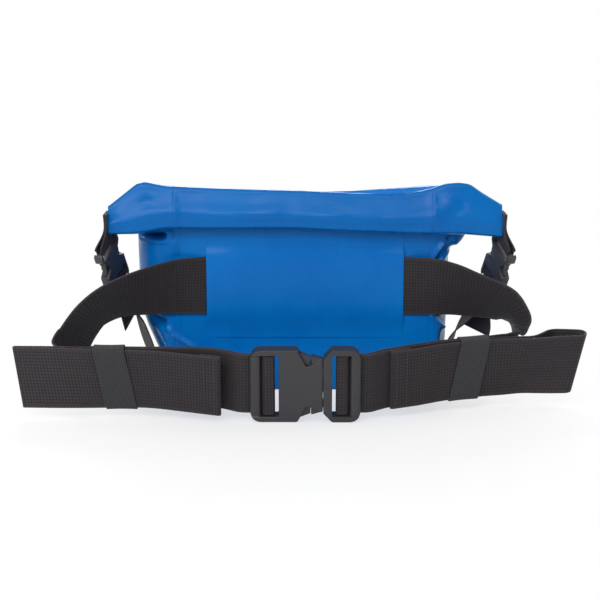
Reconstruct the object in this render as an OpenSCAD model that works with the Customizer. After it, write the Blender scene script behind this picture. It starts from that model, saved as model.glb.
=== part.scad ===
/* [Bag] */
// Width of the back and front panels between the side seams
panel_w = 224; // [180:1:280]
// Depth of the bag at its base
body_depth = 84; // [64:1:110]
// Height of the bag from the base to the neck under the ridge of the roll
body_h = 172; // [150:1:200]
// Thickness of the coated fabric
wall = 1; // [0.8:0.1:1.6]
// How far the left gusset swells past its seams
left_bulge = 31; // [8:1:40]
// How far the right gusset swells past its seams
right_bulge = 16; // [8:1:40]
// How far both gussets stand past the seams at the base
base_bulge = 5; // [2:0.5:10]
// How far the flattened gussets reach past the seams at the neck
ear_bulge = 28; // [15:1:40]
// How far the front panel swells between its seams
front_puff = 9; // [2:1:16]

/* [Rolled mouth] */
// Length of the rolled mouth from end to end
roll_len = 330; // [300:1:360]
// Height of the roll
roll_h = 24; // [20:0.5:32]
// Drop of the middle of the roll below the neck of the bag
roll_drop = 20.5; // [18:0.5:26]
// Thickness of the doubled mouth sheet
roll_sheet = 1.3; // [1:0.1:1.8]
// Growth of the roll in each turn
roll_pitch = 2; // [1.8:0.1:2.6]
// Number of turns in the roll
roll_turns = 2; // [1:1:3]
// Rise of the ridge above the neck of the bag in the middle
ridge_rise = 2; // [1:0.5:4]
// Rise of the ridge's peaks above the neck of the bag
peak_rise = 11; // [6:0.5:18]
// Thickness of the stiffening strip inside the roll
stiffener_t = 1; // [0.6:0.1:1.4]

/* [Belt] */
// Width of the belt webbing
webbing_w = 50; // [40:1:50]
// Thickness of the belt webbing
webbing_t = 1.6; // [1.2:0.1:1.8]
// Height of the middle of the belt where the bag carries it
belt_z = 93; // [85:1:100]
// Width of the sleeve that holds the belt on the back panel
sleeve_w = 168; // [140:1:200]
// Thickness of the sleeve
sleeve_t = 0.8; // [0.6:0.1:1.2]
// Height of the welded band under and over the belt
sleeve_band = 14; // [8:1:20]
// Distance of the buckle in front of the back panel
buckle_out = 90; // [80:1:110]
// Forward lean of the buckle and the front of the belt, degrees
belt_lean = 6; // [0:0.5:10]
// Width of the elastic keepers
keeper_w = 25; // [15:1:30]
// Thickness of the elastic keepers
keeper_t = 1.2; // [0.8:0.1:1.6]

/* [Waist buckle] */
// Width of the waist buckle
buckle_w = 61; // [60:0.5:66]
// Length of the latched waist buckle
buckle_len = 89; // [86:0.5:94]
// Thickness of the waist buckle
buckle_t = 13; // [12:0.5:15]
// Thickness of each face plate of the female half
plate_t = 3; // [2.4:0.1:3.4]
// Width of each side rail beside the webbing slots
rail_w = 4.5; // [4:0.1:5]
// Width of the bar at the outer end
outer_bar_w = 8.5; // [7:0.1:9]
// Width of the bar that the webbing is wound round
middle_bar_w = 6.3; // [5:0.1:7]
// Thickness of the bar that the webbing is wound round
middle_bar_t = 4; // [3:0.1:5]
// Radius of the round root on which a latch arm bends
arm_root_r = 3; // [2.5:0.1:3.2]

/* [Closure] */
// Width of the closure webbing
closure_webbing_w = 25; // [20:1:26]
// Thickness of the closure webbing
closure_webbing_t = 1.2; // [0.8:0.1:1.4]
// Width of the closure buckles
closure_buckle_w = 35; // [34:0.5:38]
// Backward slant of the hanging closure, degrees
closure_slant = 27; // [20:1:30]
// Inward swing of the hanging closure, degrees
closure_swing = 11; // [6:1:14]
// Turn of the closure buckles about their length, degrees
closure_turn = 16; // [5:1:25]

/* [Fits] */
// Clearance between pieces that move on each other
gap = 0.4; // [0.3:0.05:0.6]
// Clearance between pieces that lie on each other
lay = 0.3; // [0.2:0.05:0.4]
// Radial clearance of a latch arm's round root in its socket
root_clear = 0.05; // [0.04:0.01:0.1]

/* [Hidden] */
$fn = 48;

vinyl_blue = "#0a62ad";
webbing_black = "#322d33";
buckle_grey = "#434246";

// Straight-line and unit-vector helpers
function unit(v) = v / norm(v);
function perp(v) = [-v[1], v[0]];
function turn(v, a) = [v[0] * cos(a) - v[1] * sin(a), v[0] * sin(a) + v[1] * cos(a)];
function spin_x(v, a) = [v[0], v[1] * cos(a) - v[2] * sin(a), v[1] * sin(a) + v[2] * cos(a)];
function spin_y(v, a) = [v[0] * cos(a) + v[2] * sin(a), v[1], v[2] * cos(a) - v[0] * sin(a)];
function spin_z(v, a) = [v[0] * cos(a) - v[1] * sin(a), v[0] * sin(a) + v[1] * cos(a), v[2]];
function flip_z(p) = [for (i = [len(p) - 1:-1:0]) [p[i][0], -p[i][1], p[i][2]]];

// Arc of radius r that rounds the corner q between its neighbours p and s
function corner(p, q, s, r) =
  let (n = r < 2 ? 4 : 6, a = unit(p - q), b = unit(s - q), half = acos(max(-1, min(1, a * b))) / 2)
  r <= 0 || half > 89.5 ? [q] :
  let (
    reach = r / tan(half),
    c = q + unit(a + b) * r / sin(half),
    from = q + a * reach - c,
    to = q + b * reach - c,
    sweep = (180 - 2 * half) * sign(from[0] * to[1] - from[1] * to[0])
  )
  [for (k = [0:n]) c + turn(from, sweep * k / n)];
function xy(v) = [v[0], v[1]];

// Open and closed outlines from corners given as [x, y, radius]
function open_path(v) = [
  for (i = [0:len(v) - 1])
    each i == 0 || i == len(v) - 1 ? [xy(v[i])] : corner(xy(v[i - 1]), xy(v[i]), xy(v[i + 1]), v[i][2])
];
function closed_path(v) = [
  for (i = [0:len(v) - 1])
    each corner(xy(v[(i + len(v) - 1) % len(v)]), xy(v[i]), xy(v[(i + 1) % len(v)]), v[i][2])
];

// Flat band of thickness t along an open path
function side_of(p, i) =
  i == 0 ? unit(perp(p[1] - p[0])) :
  i == len(p) - 1 ? unit(perp(p[i] - p[i - 1])) :
  unit(perp(unit(p[i + 1] - p[i]) + unit(p[i] - p[i - 1])));
function band(p, t) = concat(
  [for (i = [0:len(p) - 1]) p[i] + side_of(p, i) * t / 2],
  [for (i = [len(p) - 1:-1:0]) p[i] - side_of(p, i) * t / 2]
);

// Smooth curve through stations, each a centre and the direction of the strap's width
function spline(a, b, c, d, t) =
  (2 * b + (c - a) * t + (2 * a - 5 * b + 4 * c - d) * t * t + (3 * b - a - 3 * c + d) * t * t * t) / 2;
function smooth_run(v, n) = [
  for (i = [0:len(v) - 2])
    for (k = [0:n - 1]) spline(v[max(i - 1, 0)], v[i], v[i + 1], v[min(i + 2, len(v) - 1)], k / n),
  v[len(v) - 1]
];

// Strap of width w and thickness t swept along stations, as one closed solid of triangles, cut square to its run
// or kept to the given width directions
module swept_strap(stations, w, t, n = 3, square_cut = true) {
  c = smooth_run([for (s = stations) s[0]], n);
  d = smooth_run([for (s = stations) s[1]], n);
  last = len(c) - 1;
  ring = [
    for (i = [0:last])
      let (
        along = i == 0 ? stations[0][2] :
          i == last ? stations[len(stations) - 1][2] :
          unit(c[i + 1] - c[i - 1]),
        wide = unit(square_cut ? d[i] - along * (along * d[i]) : d[i]),
        thick = unit(cross(along, wide))
      )
      each [for (q = [[1, 1], [1, -1], [-1, -1], [-1, 1]]) c[i] + wide * q[0] * w / 2 + thick * q[1] * t / 2]
  ];
  sides = [
    for (i = [0:last - 1], k = [0:3])
      let (a = 4 * i + k, b = 4 * i + (k + 1) % 4)
      each [[a, b, a + 4], [b, b + 4, a + 4]]
  ];
  end = 4 * last;
  polyhedron(ring, concat(sides, [[2, 1, 0], [3, 2, 0], [end, end + 1, end + 2], [end, end + 2, end + 3]]));
}

// Cross-section of the bag at height z, measured in shares of the body height
back_y = -body_depth / 2;
front_y = body_depth / 2;
collar_out = 7;
collar_y = back_y - collar_out;
neck_y = collar_y - lay;
roll_z = body_h - roll_drop;
collar_z = body_h + ridge_rise;
peak_z = body_h + peak_rise;
seam_x = panel_w / 2;
levels = 16;
function share(z) = z / body_h;
function back_at(z) = lookup(share(z), [[0, back_y], [0.8, back_y], [0.93, back_y - 1], [1, neck_y]]);
function front_at(z) = lookup(share(z), [
  [0, front_y], [0.3, front_y + 3], [0.55, front_y], [0.75, front_y * 0.62], [0.88, front_y * 0.12],
  [0.96, back_y * 0.55], [1, neck_y + 3 * wall]
]);
function bulge_at(z, most) = lookup(share(z), [
  [0, base_bulge], [0.1, base_bulge + most * 0.3], [0.25, most * 0.75], [0.45, most], [0.75, most],
  [0.9, (most + ear_bulge) / 2], [1, ear_bulge]
]);
function puff_at(z) = lookup(share(z), [[0, 1], [0.3, front_puff], [0.7, front_puff], [1, 0]]);

// One closed loop of the bag at height z, drawn in by inset, in four runs that share their seams
panel_steps = 10;
gusset_steps = 8;
function back_run(z, inset) = [
  for (k = [0:panel_steps]) [seam_x * (2 * k / panel_steps - 1), back_at(z) + inset, z]
];
function front_run(z, inset) = [
  for (k = [0:panel_steps])
    let (s = 1 - 2 * k / panel_steps)
    [seam_x * s, front_at(z) - inset + puff_at(z) * (1 - s * s), z]
];
function gusset_run(z, inset, side, most) = [
  for (k = [0:gusset_steps])
    let (
      a = -90 + 180 * k / gusset_steps,
      mid = (back_at(z) + front_at(z)) / 2,
      half = (front_at(z) - back_at(z)) / 2 - inset
    )
    [side * (seam_x + (bulge_at(z, most) - inset) * cos(a)), mid + half * sin(a), z]
];

// Closed fabric patch between an outer and an inner grid of points
module patch(outer, inner) {
  m = len(outer);
  n = len(outer[0]);
  all = m * n;
  function at(i, j) = i * n + j;
  skin = [
    for (i = [0:m - 2], j = [0:n - 2])
      each [[at(i, j), at(i + 1, j), at(i, j + 1)], [at(i, j + 1), at(i + 1, j), at(i + 1, j + 1)]]
  ];
  lining = [for (f = skin) [f[2] + all, f[1] + all, f[0] + all]];
  rim = concat(
    [for (j = [0:n - 1]) at(0, j)], [for (i = [1:m - 1]) at(i, n - 1)],
    [for (j = [n - 2:-1:0]) at(m - 1, j)], [for (i = [m - 2:-1:1]) at(i, 0)]
  );
  edge = [
    for (k = [0:len(rim) - 1])
      let (a = rim[k], b = rim[(k + 1) % len(rim)])
      each [[a, b, a + all], [b, b + all, a + all]]
  ];
  polyhedron([for (r = outer) each r, for (r = inner) each r], concat(skin, lining, edge));
}
heights = [for (i = [0:levels]) wall + (body_h - wall) * i / levels];

module back_panel() {
  color(vinyl_blue) patch([for (z = heights) back_run(z, 0)], [for (z = heights) back_run(z, wall)]);
}

module front_panel() {
  color(vinyl_blue) patch([for (z = heights) front_run(z, 0)], [for (z = heights) front_run(z, wall)]);
}

module right_gusset() {
  color(vinyl_blue) patch(
    [for (z = heights) gusset_run(z, 0, 1, right_bulge)],
    [for (z = heights) gusset_run(z, wall, 1, right_bulge)]
  );
}

module left_gusset() {
  color(vinyl_blue) mirror([1, 0, 0]) patch(
    [for (z = heights) gusset_run(z, 0, 1, left_bulge)],
    [for (z = heights) gusset_run(z, wall, 1, left_bulge)]
  );
}

// Flat base, cut to the outline of the bag's lowest loop
module base_panel() {
  loop = concat(
    back_run(wall, 0), gusset_run(wall, 0, 1, right_bulge), front_run(wall, 0),
    [for (k = [gusset_steps:-1:0]) gusset_run(wall, 0, -1, left_bulge)[k]]
  );
  color(vinyl_blue) linear_extrude(wall) polygon([for (p = loop) xy(p)]);
}

// Flattened spiral of the doubled mouth, seen from the end as [y, z]: from the core out to the front of the roll,
// then up and back to the ridge, where the sheet turns down to the neck of the bag
roll_core = roll_pitch / 2 - roll_sheet / 4;
roll_end_r = roll_core + roll_pitch * roll_turns;
roll_half = (roll_h - roll_sheet - 2 * roll_core - roll_pitch * (2 * roll_turns - 1)) / 2;
roll_y = collar_y - roll_core - roll_pitch * (roll_turns - 0.5) - roll_sheet / 2 - 2 * lay;
spiral_steps = 10;
function roll_path() = concat(
  [
    for (h = [1:2 * roll_turns - 1], k = [0:spiral_steps])
      let (a = 180 * (h + k / spiral_steps), r = roll_core + roll_pitch * a / 360)
      [roll_y - r * cos(a), roll_z + (h % 2 == 0 ? roll_half : -roll_half) + r * sin(a)]
  ],
  [
    [roll_y - 0.95 * roll_end_r, roll_z + 0.4 * roll_h],
    [roll_y - 0.75 * roll_end_r, roll_z + roll_h / 2 + 2],
    [collar_y, collar_z], [collar_y + roll_sheet, peak_z + roll_h]
  ]
);

// Extrudes a [y, z] outline along the length of the bag
module along_x(length) {
  translate([-length / 2, 0, 0]) rotate([90, 0, 90]) linear_extrude(length) children();
}

module roll_top() {
  end = roll_len / 2;
  peak_x = seam_x + ear_bulge;
  low = roll_z - roll_h;
  outline = closed_path([
    [-end, low, 0], [end, low, 0], [end, roll_z + roll_h / 2 - 2, 4], [peak_x, peak_z, 8],
    [peak_x - 28, collar_z + 1, 20], [-peak_x + 28, collar_z + 1, 20], [-peak_x, peak_z, 8],
    [-end, roll_z + roll_h / 2 - 2, 4]
  ]);
  color(vinyl_blue) intersection() {
    along_x(roll_len) polygon(band(roll_path(), roll_sheet));
    translate([0, body_depth, 0]) rotate([90, 0, 0]) linear_extrude(3 * body_depth) polygon(outline);
  }
}

// Plain strip that keeps the mouth straight, in the middle of the roll
module mouth_stiffener() {
  high = 2 * roll_half + roll_pitch;
  color("#d8dde2") translate([-roll_len / 2 + 1, roll_y - stiffener_t / 2, roll_z - high / 2])
    cube([roll_len - 2, stiffener_t, high]);
}

// Sleeve of the same fabric, welded to the back panel over and under the belt
belt_y = back_y - lay - webbing_t / 2;
sleeve_rise = 4;
module belt_sleeve() {
  flat_y = back_y - sleeve_t / 2;
  over_y = belt_y - webbing_t / 2 - lay - sleeve_t / 2;
  low = belt_z - webbing_w / 2 - lay;
  high = belt_z + webbing_w / 2 + lay;
  path = open_path([
    [flat_y, low - sleeve_rise - sleeve_band, 0], [flat_y, low - sleeve_rise, 3], [over_y, low, 2],
    [over_y, high, 2], [flat_y, high + sleeve_rise, 3], [flat_y, high + sleeve_rise + sleeve_band / 2, 0]
  ]);
  color(vinyl_blue) along_x(sleeve_w) polygon(band(path, sleeve_t));
}

// Stretch of the belt inside the sleeve
module belt_centre() {
  color(webbing_black) translate([-sleeve_w / 2, belt_y - webbing_t / 2, belt_z - webbing_w / 2])
    cube([sleeve_w, webbing_t, webbing_w]);
}

// Frame of the front of the belt: x along the belt, y through it, z up its width, standing on the floor
front_at_floor = [0, back_y - buckle_out, buckle_t / 2 * sin(belt_lean)];
strap_low = (buckle_w - webbing_w) / 2;
module front_frame() {
  translate(front_at_floor) rotate([belt_lean, 0, 0]) children();
}
function front_vector(v) = spin_x(v, belt_lean);
function front_point(x, y, z) = front_at_floor + front_vector([x, y, z]);

// Bars and slots of a buckle end, measured out from the middle of the buckle
bar_out = buckle_len / 2;
slot_out = bar_out - outer_bar_w;
outer_slot_w = webbing_t + 2 * gap + 1;
middle_out = slot_out - outer_slot_w;
middle_in = middle_out - middle_bar_w;
inner_slot_w = webbing_t + 2 * gap + 2.5;
body_in = middle_in - inner_slot_w;

// Corners of webbing of thickness t, lying l clear, where it goes round the middle bar: in behind it, over it,
// and out behind the outer bar
outer_rear = middle_bar_t / 2 - webbing_t - lay;
function tail_at(t, l) = outer_rear + l + t / 2;
function stand_at(t, l) = tail_at(t, l) + t + l;
function round_bar(t, l) =
  let (front = -middle_bar_t / 2 - l - t / 2, near = middle_in - l - t / 2, far = middle_out + l + t / 2)
  [
    [near, stand_at(t, l), 0.9 * t], [near, front, 0.9 * t], [far, front, 0.8 * t],
    [far, tail_at(t, l), 0.8 * t]
  ];

// Plan of each half of the belt's front, out from the buckle: the standing strap, the turn round the bar,
// the tail, its fold, and the returning end with its folded hem
rear_y = stand_at(webbing_t, lay);
tail_y = tail_at(webbing_t, lay);
left_start = [168, 20.2];
right_start = [150, 44.8];
left_plan = concat(
  [[left_start[0], left_start[1], 0], [75, 18.6, 60], [bar_out + 5.5, rear_y, 25]],
  round_bar(webbing_t, lay),
  [
    [bar_out + 8, tail_y, 20], [76, 15.9, 60], [233, 18.4, 1.25], [233, 15.3, 1.25], [125, 11.5, 120],
    [69, -6, 1.2], [68.1, -3.2, 1.2], [84.4, 1.9, 0]
  ]
);
right_plan = concat(
  [
    [right_start[0], right_start[1], 0], [114, 36.2, 100], [88, 25.6, 100], [63, 13.5, 40],
    [bar_out + 5.5, rear_y, 15]
  ],
  round_bar(webbing_t, lay),
  [
    [bar_out + 7, tail_y, 12], [65.5, 11.2, 40], [90, 23, 100], [115, 33.4, 100], [150, 42.2, 100],
    [184, 47, 15], [199, 64, 12], [229, 60, 6.5], [227, 46, 6.5], [185, 42.6, 60], [150, 37.6, 100],
    [115, 27.8, 100], [92, 16.5, 60], [70, 8.3, 1.2], [69, 11, 1.2], [85, 17, 0]
  ]
);
module belt_run(plan, side) {
  color(webbing_black) front_frame() translate([0, 0, strap_low]) linear_extrude(webbing_w)
    polygon([for (p = band(open_path(plan), webbing_t)) [side * p[0], p[1]]]);
}
module left_belt_run() { belt_run(left_plan, -1); }
module right_belt_run() { belt_run(right_plan, 1); }

// Leads of the belt from the sleeve round to the front, as [centre, width direction]
up = [0, 0, 1];
closure_room = 36;
function lead_push() = max(0, belt_z + closure_room - eye_at[2]);
function pushed(v) = [
  for (i = [0:len(v) - 1])
    let (f = min(1, i / 3, (len(v) - 1 - i) / 3))
    [v[i][0] - [0, lead_push() * f, 0], v[i][1], v[i][2]]
];
function lead_end(start, next, side) =
  let (d = unit(next - start))
  [
    front_point(side * start[0], start[1], buckle_w / 2), front_vector(up),
    front_vector([side * d[0], d[1], 0])
  ];
left_lead = concat(
  [[[-sleeve_w / 2, belt_y, belt_z], up, [-1, 0, 0]]],
  [
    [[-105, -48.5, 93.5], [-0.03, -0.18, 0.98]], [[-128, -57, 92], [-0.05, -0.42, 0.9]],
    [[-149, -65, 89], [-0.1, -0.62, 0.78]], [[-166, -70, 83], [-0.18, -0.72, 0.67]],
    [[-178, -74, 75], [-0.28, -0.79, 0.54]], [[-187, -76, 64], [-0.39, -0.81, 0.42]],
    [[-194, -80, 52], [-0.45, -0.82, 0.33]], [[-198, -90, 41], [-0.36, -0.74, 0.56]],
    [[-194, -103, 34], [-0.18, -0.48, 0.86]], [[-183, -112, 32], [-0.05, -0.22, 0.97]]
  ],
  [lead_end(left_start, xy(left_plan[1]), -1)]
);
right_lead = concat(
  [[[sleeve_w / 2, belt_y, belt_z], up, [1, 0, 0]]],
  [
    [[108, -47, 93], [-0.02, -0.12, 0.99]], [[126, -52, 91.5], [0, -0.33, 0.94]],
    [[142, -57, 88], [0.06, -0.52, 0.85]], [[158, -60, 84], [0.13, -0.65, 0.74]],
    [[168, -61, 79], [0.2, -0.71, 0.67]], [[175, -62, 72], [0.21, -0.8, 0.56]],
    [[179, -62, 64], [0.13, -0.87, 0.47]], [[179, -63, 54], [0, -0.9, 0.42]],
    [[175, -69, 45], [-0.05, -0.72, 0.68]], [[165, -79, 38], [-0.03, -0.4, 0.9]]
  ],
  [lead_end(right_start, xy(right_plan[1]), 1)]
);
module left_belt_lead() { color(webbing_black) swept_strap(pushed(left_lead), webbing_w, webbing_t); }
module right_belt_lead() { color(webbing_black) swept_strap(pushed(right_lead), webbing_w, webbing_t); }

// Elastic loop round the layers of the belt, at [x, y], turned with the belt
module keeper(at, angle, half) {
  deep = 2 * half;
  high = webbing_w + 2 * lay;
  color(webbing_black) front_frame() translate([at[0], at[1], buckle_w / 2]) rotate(angle) difference() {
    cube([keeper_w, deep + 2 * keeper_t, high + 2 * keeper_t], center = true);
    cube([keeper_w + 2, deep, high], center = true);
  }
}
module left_keeper() { keeper([-154, 16.3], 0, 5.6); }
module right_keeper() { keeper([134, 37.1], 14.3, 5.4); }

// Side-release latch, in its own frame: x along it with the female half at minus x, y through it, z across
mouth_x = 14;
catch_x = 4.5;
window_x = -5.5;
pocket_x = -17;
mouth_half = 19.5;
catch_half = 25;
pocket_half = buckle_w / 2 - 8;
notch = [1, buckle_w / 2 - 14];
end_round = 9;
inner_t = buckle_t - 2 * plate_t;
arm_t = inner_t - 2 * gap;
socket_wall = 0.9;
arm_root = [body_in - arm_root_r - socket_wall, mouth_half - 3.6];
guide_half = 5.5;

// Extrudes an [x, z] outline through the latch by thickness t about its middle plane
module through(t) {
  translate([0, t / 2, 0]) rotate([90, 0, 0]) linear_extrude(t) children();
}
module both_halves(v) { polygon(closed_path(concat(v, flip_z(v)))); }

// Open end with two rails, an outer bar and a middle bar, for webbing that adjusts
module ladder_bars(side) {
  long = buckle_w - 2 * rail_w;
  translate([0, 0, -long / 2 - 1]) linear_extrude(long + 2) {
    polygon([for (p = closed_path([
      [slot_out, -buckle_t / 2 + 1, 2.2], [bar_out, -buckle_t / 2 + 1, 2.2],
      [bar_out, outer_rear, 1.5], [slot_out, outer_rear, 1.5]
    ])) [side * p[0], p[1]]]);
    polygon([for (p = closed_path([
      [middle_in, -middle_bar_t / 2, 1.2], [middle_out, -middle_bar_t / 2, 1.2],
      [middle_out, middle_bar_t / 2, 1.2], [middle_in, middle_bar_t / 2, 1.2]
    ])) [side * p[0], p[1]]]);
  }
}
module ladder_opening(side) {
  long = buckle_w - 2 * rail_w;
  low = side > 0 ? body_in : -bar_out - 1;
  translate([low, -buckle_t, -long / 2]) cube([bar_out + 1 - body_in, 2 * buckle_t, long]);
}

// Box half: two face plates with finger notches, side walls, catches, and the webbing ladder
module latch_female() {
  half = buckle_w / 2;
  plate = [
    [-bar_out, half, end_round], [window_x - 1, half, 2], [notch[0], notch[1], 1.5],
    [mouth_x, mouth_half + 3, 1]
  ];
  intersection() {
    through(buckle_t) both_halves([[-bar_out, half, end_round], [mouth_x, half, 0]]);
    union() {
      difference() {
        union() {
          through(buckle_t) both_halves(plate);
          through(inner_t + 1) both_halves([[-bar_out, half, end_round], [window_x, half, 1]]);
          for (s = [-1, 1])
            through(inner_t + 1) polygon([
              [catch_x, s * (mouth_half - 0.5)], [catch_x, s * catch_half],
              [mouth_x, s * (mouth_half + 2.8)], [mouth_x, s * (mouth_half - 0.5)]
            ]);
        }
        through(inner_t) polygon(closed_path([
          [pocket_x, -pocket_half, 4], [catch_x, -pocket_half, 0], [catch_x, -mouth_half, 0],
          [mouth_x + 1, -mouth_half, 0], [mouth_x + 1, mouth_half, 0], [catch_x, mouth_half, 0],
          [catch_x, pocket_half, 0], [pocket_x, pocket_half, 4]
        ]));
        for (s = [-1, 1])
          translate([window_x, -inner_t / 2, s > 0 ? pocket_half - 1 : -half - 1])
            cube([catch_x - window_x, inner_t, half + 2 - pocket_half]);
        ladder_opening(-1);
      }
      ladder_bars(-1);
    }
  }
}

// Fork half without its arms: shoulders, guide tongue, arm sockets, and a ladder or a plain eye
module latch_male(ladder) {
  half = buckle_w / 2;
  end = ladder ? bar_out : eye_out;
  face = mouth_x + gap;
  shape = [[end, half, ladder ? end_round : 5], [body_in, half, 3], [face, mouth_half + 3.4, 1.5]];
  intersection() {
    union() {
      through(buckle_t) both_halves([for (i = [2:-1:0]) shape[i]]);
      through(inner_t) square([4 * bar_out, 2 * guide_half], center = true);
    }
    union() {
      difference() {
        union() {
          translate([face, -buckle_t / 2, -half]) cube([end - face, buckle_t, buckle_w]);
          through(arm_t) polygon(closed_path([
            [face + 1, -guide_half, 0], [face + 1, guide_half, 0], [pocket_x + 3, guide_half - 1.5, 2],
            [pocket_x + 3, -guide_half + 1.5, 2]
          ]));
        }
        for (s = [-1, 1]) {
          through(arm_t + 2 * gap) polygon([
            [mouth_x - 1, s * (arm_root[1] - 8)], [arm_root[0], s * (arm_root[1] - arm_root_r)],
            [arm_root[0], s * (arm_root[1] + arm_root_r)], [mouth_x - 1, s * (arm_root[1] + arm_root_r + gap)]
          ]);
          through(arm_t + 2 * gap) translate([arm_root[0], s * arm_root[1]]) circle(arm_root_r + root_clear);
        }
        if (ladder) ladder_opening(1);
        if (!ladder) translate([body_in, -buckle_t, -half + rail_w])
          cube([bar_out, 2 * buckle_t, buckle_w - 2 * rail_w]);
      }
      if (ladder) ladder_bars(1);
      if (!ladder) translate([eye_mid, 0, 0]) cylinder(h = buckle_w - rail_w, r = eye_r, center = true);
    }
  }
}

// Springy arm with its round root, catch and finger pad, on the side s of the latch
module latch_arm(s) {
  outer = mouth_half - gap;
  shape = [
    [arm_root[0], outer - 0.4, 0], [catch_x - gap, outer, 0.3], [catch_x - gap, catch_half - 1, 0.6],
    [window_x + gap, catch_half + 2.6, 1.2], [window_x + gap - 0.2, pocket_half - gap, 0.6],
    [window_x - 6, outer - 1, 1.2], [window_x - 6, outer - 4, 1.2], [catch_x, outer - 5, 6],
    [arm_root[0], arm_root[1] - arm_root_r + 0.3, 0]
  ];
  through(arm_t) mirror([0, s < 0 ? 1 : 0]) {
    polygon(closed_path(shape));
    translate(arm_root) circle(arm_root_r);
  }
}

// The waist latch stands across the front of the belt
module waist_frame() {
  front_frame() translate([0, 0, buckle_w / 2]) children();
}
module waist_female() { color(buckle_grey) waist_frame() latch_female(); }
module waist_male() { color(buckle_grey) waist_frame() latch_male(true); }
module waist_upper_arm() { color(buckle_grey) waist_frame() latch_arm(1); }
module waist_lower_arm() { color(buckle_grey) waist_frame() latch_arm(-1); }

// The closure latches are the same design at a smaller size, with a round-barred eye on the male half
closure_scale = closure_buckle_w / buckle_w;
eye_r = 2.5;
eye_mid = body_in + 9.5;
eye_out = eye_mid + eye_r + 0.5;
eye_at = [roll_len / 2 + 3, roll_y, roll_z - 22];

// Frame of a hanging closure: origin on the eye's bar, x up the latch, y through it towards the bag, z across
function closure_dir(side, v) =
  let (m = side > 0 ? [-v[1], -v[2], v[0]] : [v[1], v[2], v[0]])
  spin_x(spin_y(spin_z(m, side * closure_turn), side * closure_swing), closure_slant);
function closure_point(side, v) = [side * eye_at[0], eye_at[1], eye_at[2]] + closure_dir(side, v);
function closure_across(side) = -side * closure_dir(side, [0, 0, 1]);
module closure_frame(side) {
  translate([side * eye_at[0], eye_at[1], eye_at[2]]) rotate([closure_slant, 0, 0])
    rotate([0, side * closure_swing, 0]) rotate([0, 0, side * closure_turn]) rotate([0, -90, -90])
    rotate([side > 0 ? 180 : 0, 0, 0]) children();
}
module closure_latch(side) {
  closure_frame(side) scale(closure_scale) translate([-eye_mid, 0, 0]) children();
}
module left_closure_male() { color(buckle_grey) closure_latch(-1) latch_male(false); }
module right_closure_male() { color(buckle_grey) closure_latch(1) latch_male(false); }
module left_closure_female() { color(buckle_grey) closure_latch(-1) latch_female(); }
module right_closure_female() { color(buckle_grey) closure_latch(1) latch_female(); }
module left_closure_near_arm() { color(buckle_grey) closure_latch(-1) latch_arm(-1); }
module left_closure_far_arm() { color(buckle_grey) closure_latch(-1) latch_arm(1); }
module right_closure_near_arm() { color(buckle_grey) closure_latch(1) latch_arm(1); }
module right_closure_far_arm() { color(buckle_grey) closure_latch(1) latch_arm(-1); }

// Tab of webbing on the end of the roll, looped round the eye's bar
module closure_tab(side) {
  t = closure_webbing_t;
  loop_r = eye_r * closure_scale + lay + t / 2;
  inner_x = side * (roll_len / 2 + 5 * lay + t / 2);
  outer_x = inner_x + side * (t + lay);
  level = [0, 1, 0];
  across = closure_across(side);
  low = roll_z - roll_h / 2;
  square_up = 6;
  legs = [
    for (q = [[inner_x, 1], [outer_x, -1]])
      [[q[0], roll_y, low + 4], closure_point(side, [square_up, q[1] * loop_r, 0])]
  ];
  function on_leg(leg, f) = [leg[0] + (leg[1] - leg[0]) * f, level + (across - level) * f];
  stations = concat(
    [[[inner_x, roll_y, roll_z + 6], level, [0, 0, -1]]],
    [for (f = [0:0.2:1]) on_leg(legs[0], f)],
    [for (a = [square_up - 2:-2:1]) [closure_point(side, [a, loop_r, 0]), across]],
    [for (a = [0:15:180]) [closure_point(side, [-loop_r * sin(a), loop_r * cos(a), 0]), across]],
    [for (a = [2:2:square_up - 1]) [closure_point(side, [a, -loop_r, 0]), across]],
    [for (f = [1:-0.2:0]) on_leg(legs[1], f)],
    [[[outer_x, roll_y, roll_z + 6], level, [0, 0, 1]]]
  );
  color(webbing_black) swept_strap(stations, closure_webbing_w, t, 1, false);
}
module left_tab() { closure_tab(-1); }
module right_tab() { closure_tab(1); }

// Closure strap: its tail, the turn round the bar, and the run down to the side of the bag
module closure_strap(side, lower) {
  k = closure_scale;
  t = closure_webbing_t / k;
  l = lay / k;
  across = closure_across(side);
  bend = round_bar(t, l);
  wrap = open_path(concat(
    [[bar_out + 62, tail_at(t, l) - 3, 0], [bar_out + 12, tail_at(t, l), 40]],
    [for (i = [3:-1:0]) bend[i]],
    [[bar_out + 6, stand_at(t, l), 0]]
  ));
  leave = closure_point(side, [-k * (bar_out + 10 + eye_mid), k * (stand_at(t, l) + 1), 0]);
  run = concat([[leave, across]], lower);
  c = smooth_run([for (q = run) q[0]], 4);
  d = smooth_run([for (q = run) q[1]], 4);
  stations = concat(
    [for (p = wrap) [closure_point(side, [-k * (p[0] + eye_mid), k * p[1], 0]), across]],
    [for (i = [0:len(c) - 1]) [c[i], d[i]]]
  );
  last = len(stations) - 1;
  ends = [stations[1][0] - stations[0][0], stations[last][0] - stations[last - 1][0]];
  color(webbing_black) swept_strap(
    [
      for (i = [0:last])
        [stations[i][0], stations[i][1], i == 0 ? unit(ends[0]) : i == last ? unit(ends[1]) : undef]
    ],
    closure_webbing_w, closure_webbing_t, 1
  );
}
module left_closure_strap() {
  closure_strap(-1, [
    [[-seam_x - 35, -31, 74], [0.1, 0.95, 0.2]], [[-seam_x - 25.5, -28.5, 62], [-0.25, 0.95, 0.05]],
    [[-seam_x - 21, -25, 44], [-0.36, 0.93, 0]], [[-seam_x - 18, -24, 32], [-0.36, 0.93, 0]],
    [[-seam_x - 15, -23, 22], [-0.36, 0.93, 0]]
  ]);
}
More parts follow.
